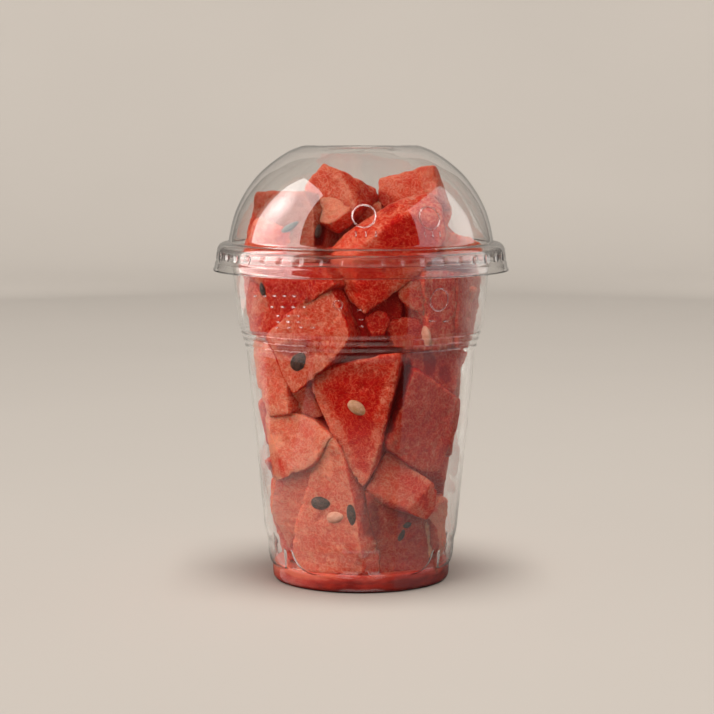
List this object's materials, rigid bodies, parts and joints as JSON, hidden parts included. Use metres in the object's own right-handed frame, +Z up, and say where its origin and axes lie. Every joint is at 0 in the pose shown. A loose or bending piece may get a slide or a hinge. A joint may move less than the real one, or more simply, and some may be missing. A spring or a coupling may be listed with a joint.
{
  "type": "watermelon cup",
  "caption": "Clear plastic cup with a clear dome lid, filled with chunks of cut watermelon with seeds.",
  "frame": {"origin": "middle of the foot ring, on the surface that the cup stands on", "axes": "+Z up along the cup's axis, -Y towards the side that the picture shows"},
  "size_m": [0.0985, 0.0986, 0.145],
  "materials": {
    "cup_plastic": "clear thermoformed plastic, glossy",
    "lid_plastic": "clear thermoformed plastic, glossy",
    "watermelon_flesh": "moist cut fruit",
    "watermelon_juice": "thin red juice",
    "seed_dark": "wet black seed",
    "seed_pale": "unripe white seed"
  },
  "bodies": {
    "root": {"cup": "cup_plastic", "lid": "lid_plastic", "watermelon": "watermelon_flesh"}
  },
  "joints": []
}
